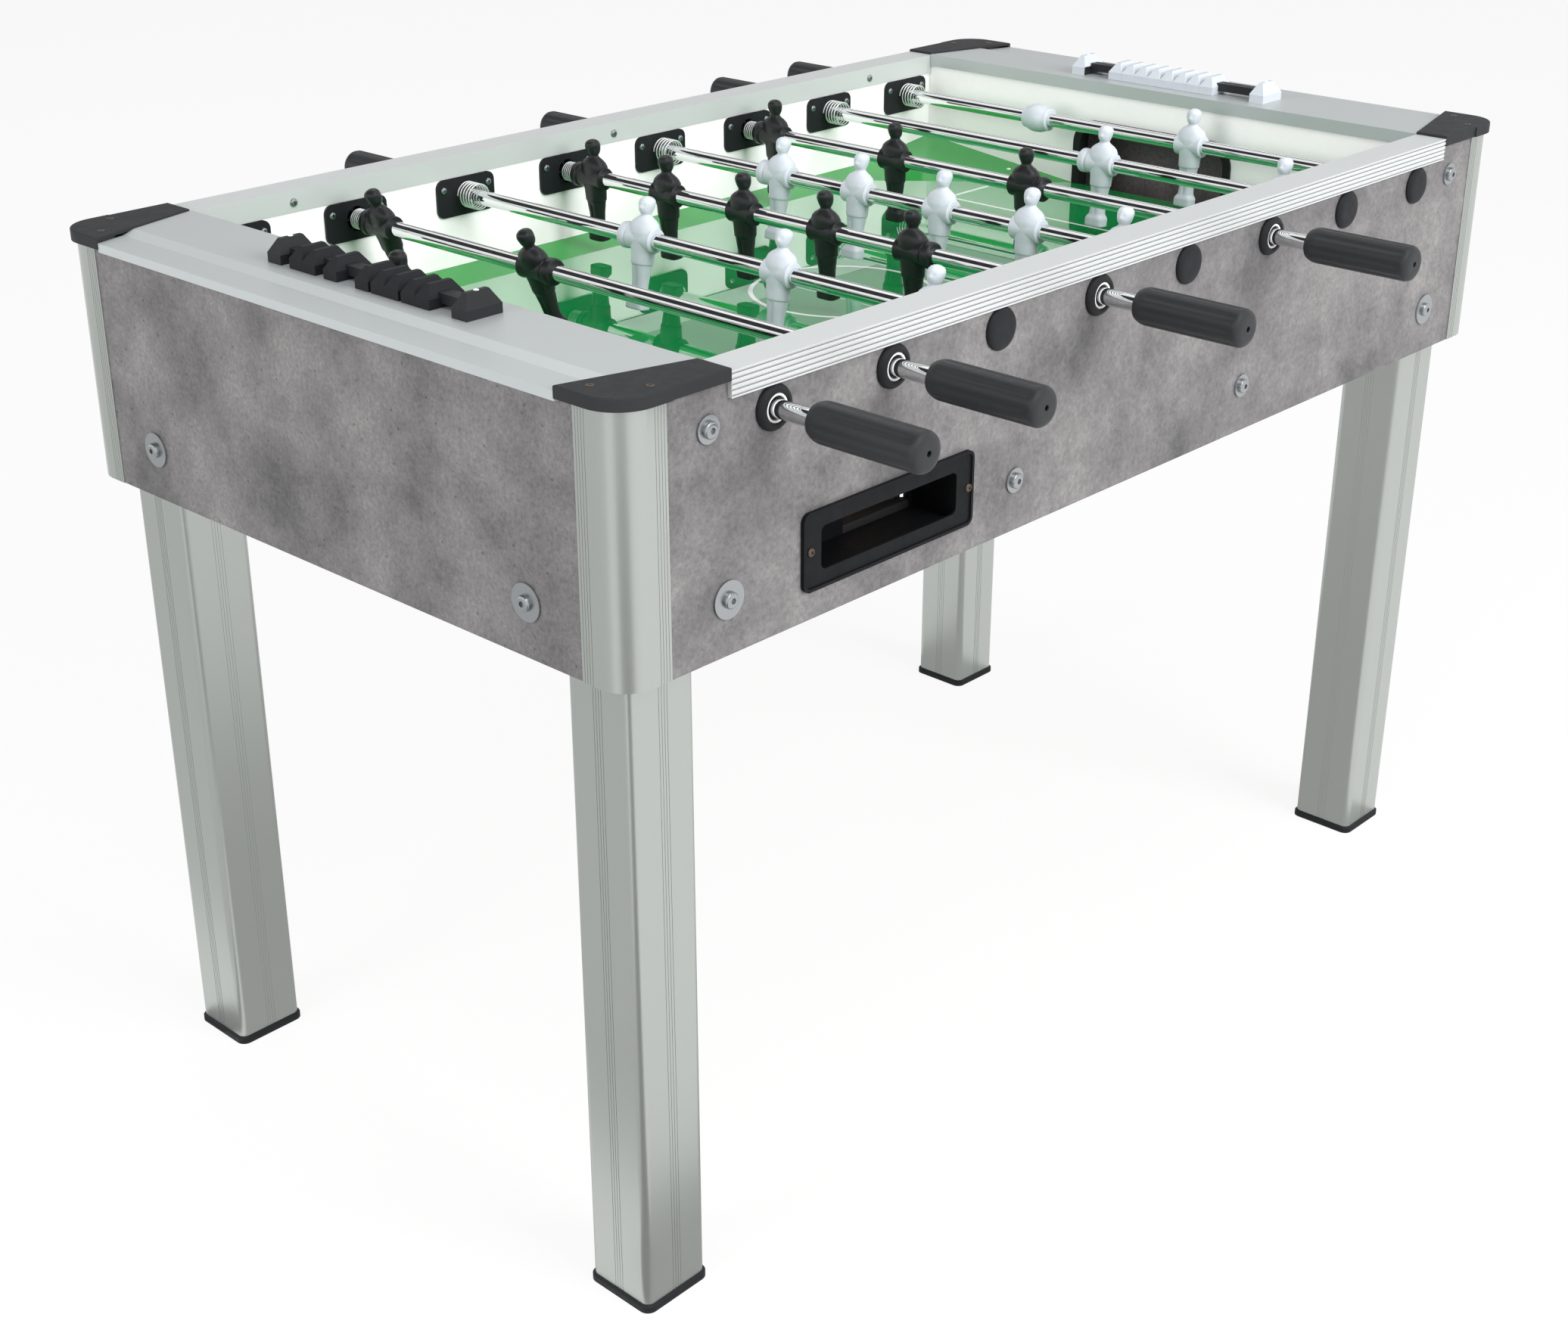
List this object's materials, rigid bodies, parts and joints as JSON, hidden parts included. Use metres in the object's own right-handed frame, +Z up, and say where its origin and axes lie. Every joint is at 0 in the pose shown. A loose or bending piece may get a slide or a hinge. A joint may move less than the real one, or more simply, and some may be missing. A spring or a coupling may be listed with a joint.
{
  "type": "foosball table",
  "caption": "Foosball table: laminated cabinet on aluminium legs, with telescopic rods that turn and slide, players in black and grey, goals, ball trays and sliding score counters.",
  "frame": {"origin": "middle of the floor under the table", "axes": "+X along the field towards the grey keeper's goal, +Z up, the black team's grips on the -Y side"},
  "size_m": [1.3802, 1.092, 0.918],
  "materials": {
    "laminate": "mottled grey laminate, satin",
    "white_board": "white laminate, satin",
    "timber": "plain timber",
    "field_green": "glossy green with white lines",
    "aluminium": "satin anodised",
    "steel": "zinc plated",
    "chrome": "polished",
    "black_plastic": "satin black",
    "white_plastic": "white",
    "black_figures": "satin black",
    "grey_figures": "satin light grey"
  },
  "bodies": {
    "table": {"cabinet_panels": "laminate", "inner_walls": "white_board", "field_board": "timber", "field_sheet": "field_green", "field_timbers": "timber", "field_ramps": "field_green", "goal_frames": "black_plastic", "ball_trays": "black_plastic", "ball_chutes": "timber", "corner_posts": "aluminium", "corner_caps": "black_plastic", "side_rails": "aluminium", "end_tops": "aluminium", "legs": "aluminium", "leg_feet": "black_plastic", "leg_brackets": "steel", "bearing_plates": "black_plastic", "rod_bushes": "black_plastic", "bush_liners": "white_plastic", "rod_springs": "steel", "cabinet_bolts": "steel", "counter_mounts": "black_plastic"},
    "black_keeper_core": {"black_keeper_core": "chrome"},
    "black_keeper_rod": {"black_keeper_tube": "chrome", "black_keeper_players": "black_figures", "black_keeper_grip": "black_plastic"},
    "black_defence_core": {"black_defence_core": "chrome"},
    "black_defence_rod": {"black_defence_tube": "chrome", "black_defence_players": "black_figures", "black_defence_grip": "black_plastic"},
    "grey_attack_core": {"grey_attack_core": "chrome"},
    "grey_attack_rod": {"grey_attack_tube": "chrome", "grey_attack_players": "grey_figures", "grey_attack_grip": "black_plastic"},
    "black_midfield_core": {"black_midfield_core": "chrome"},
    "black_midfield_rod": {"black_midfield_tube": "chrome", "black_midfield_players": "black_figures", "black_midfield_grip": "black_plastic"},
    "grey_midfield_core": {"grey_midfield_core": "chrome"},
    "grey_midfield_rod": {"grey_midfield_tube": "chrome", "grey_midfield_players": "grey_figures", "grey_midfield_grip": "black_plastic"},
    "black_attack_core": {"black_attack_core": "chrome"},
    "black_attack_rod": {"black_attack_tube": "chrome", "black_attack_players": "black_figures", "black_attack_grip": "black_plastic"},
    "grey_defence_core": {"grey_defence_core": "chrome"},
    "grey_defence_rod": {"grey_defence_tube": "chrome", "grey_defence_players": "grey_figures", "grey_defence_grip": "black_plastic"},
    "grey_keeper_core": {"grey_keeper_core": "chrome"},
    "grey_keeper_rod": {"grey_keeper_tube": "chrome", "grey_keeper_players": "grey_figures", "grey_keeper_grip": "black_plastic"},
    "black_beads_1": {"black_beads_1": "black_plastic"},
    "black_beads_2": {"black_beads_2": "black_plastic"},
    "black_beads_3": {"black_beads_3": "black_plastic"},
    "black_beads_4": {"black_beads_4": "black_plastic"},
    "black_beads_5": {"black_beads_5": "black_plastic"},
    "grey_beads": {"grey_beads": "grey_figures"}
  },
  "joints": [
    {"name": "black_keeper_spin", "type": "hinge", "parent": "table", "child": "black_keeper_core", "pos_m": [-0.5145, 0, 0.852], "axis": [0, 1, 0], "range_deg": [-205, 50]},
    {"name": "black_keeper_slide", "type": "slide", "parent": "black_keeper_core", "child": "black_keeper_rod", "axis": [0, -1, 0], "range_m": [0, 0.1724]},
    {"name": "black_defence_spin", "type": "hinge", "parent": "table", "child": "black_defence_core", "pos_m": [-0.3675, 0, 0.852], "axis": [0, 1, 0], "continuous": true},
    {"name": "black_defence_slide", "type": "slide", "parent": "black_defence_core", "child": "black_defence_rod", "axis": [0, -1, 0], "range_m": [0, 0.3654]},
    {"name": "grey_attack_spin", "type": "hinge", "parent": "table", "child": "grey_attack_core", "pos_m": [-0.2205, 0, 0.852], "axis": [0, -1, 0], "continuous": true},
    {"name": "grey_attack_slide", "type": "slide", "parent": "grey_attack_core", "child": "grey_attack_rod", "axis": [0, 1, 0], "range_m": [0, 0.2244]},
    {"name": "black_midfield_spin", "type": "hinge", "parent": "table", "child": "black_midfield_core", "pos_m": [-0.0735, 0, 0.852], "axis": [0, 1, 0], "continuous": true},
    {"name": "black_midfield_slide", "type": "slide", "parent": "black_midfield_core", "child": "black_midfield_rod", "axis": [0, -1, 0], "range_m": [0, 0.1384]},
    {"name": "grey_midfield_spin", "type": "hinge", "parent": "table", "child": "grey_midfield_core", "pos_m": [0.0735, 0, 0.852], "axis": [0, -1, 0], "continuous": true},
    {"name": "grey_midfield_slide", "type": "slide", "parent": "grey_midfield_core", "child": "grey_midfield_rod", "axis": [0, 1, 0], "range_m": [0, 0.1384]},
    {"name": "black_attack_spin", "type": "hinge", "parent": "table", "child": "black_attack_core", "pos_m": [0.2205, 0, 0.852], "axis": [0, 1, 0], "continuous": true},
    {"name": "black_attack_slide", "type": "slide", "parent": "black_attack_core", "child": "black_attack_rod", "axis": [0, -1, 0], "range_m": [0, 0.2244]},
    {"name": "grey_defence_spin", "type": "hinge", "parent": "table", "child": "grey_defence_core", "pos_m": [0.3675, 0, 0.852], "axis": [0, -1, 0], "continuous": true},
    {"name": "grey_defence_slide", "type": "slide", "parent": "grey_defence_core", "child": "grey_defence_rod", "axis": [0, 1, 0], "range_m": [0, 0.3654]},
    {"name": "grey_keeper_spin", "type": "hinge", "parent": "table", "child": "grey_keeper_core", "pos_m": [0.5145, 0, 0.852], "axis": [0, -1, 0], "range_deg": [-205, 50]},
    {"name": "grey_keeper_slide", "type": "slide", "parent": "grey_keeper_core", "child": "grey_keeper_rod", "axis": [0, 1, 0], "range_m": [0, 0.1724]},
    {"name": "black_beads_1_slide", "type": "slide", "parent": "table", "child": "black_beads_1", "axis": [0, 1, 0], "range_m": [-0.00605, 0.0128]},
    {"name": "black_beads_2_slide", "type": "slide", "parent": "table", "child": "black_beads_2", "axis": [0, 1, 0], "range_m": [-0.0129, 0.00605]},
    {"name": "black_beads_3_slide", "type": "slide", "parent": "table", "child": "black_beads_3", "axis": [0, 1, 0], "range_m": [-0.0016, 0.0129]},
    {"name": "black_beads_4_slide", "type": "slide", "parent": "table", "child": "black_beads_4", "axis": [0, 1, 0], "range_m": [-0.0017, 0.0016]},
    {"name": "black_beads_5_slide", "type": "slide", "parent": "table", "child": "black_beads_5", "axis": [0, 1, 0], "range_m": [-0.0292, 0.0017]},
    {"name": "grey_beads_slide", "type": "slide", "parent": "table", "child": "grey_beads", "axis": [0, 1, 0], "range_m": [-0.0511, 0.0358]}
  ]
}
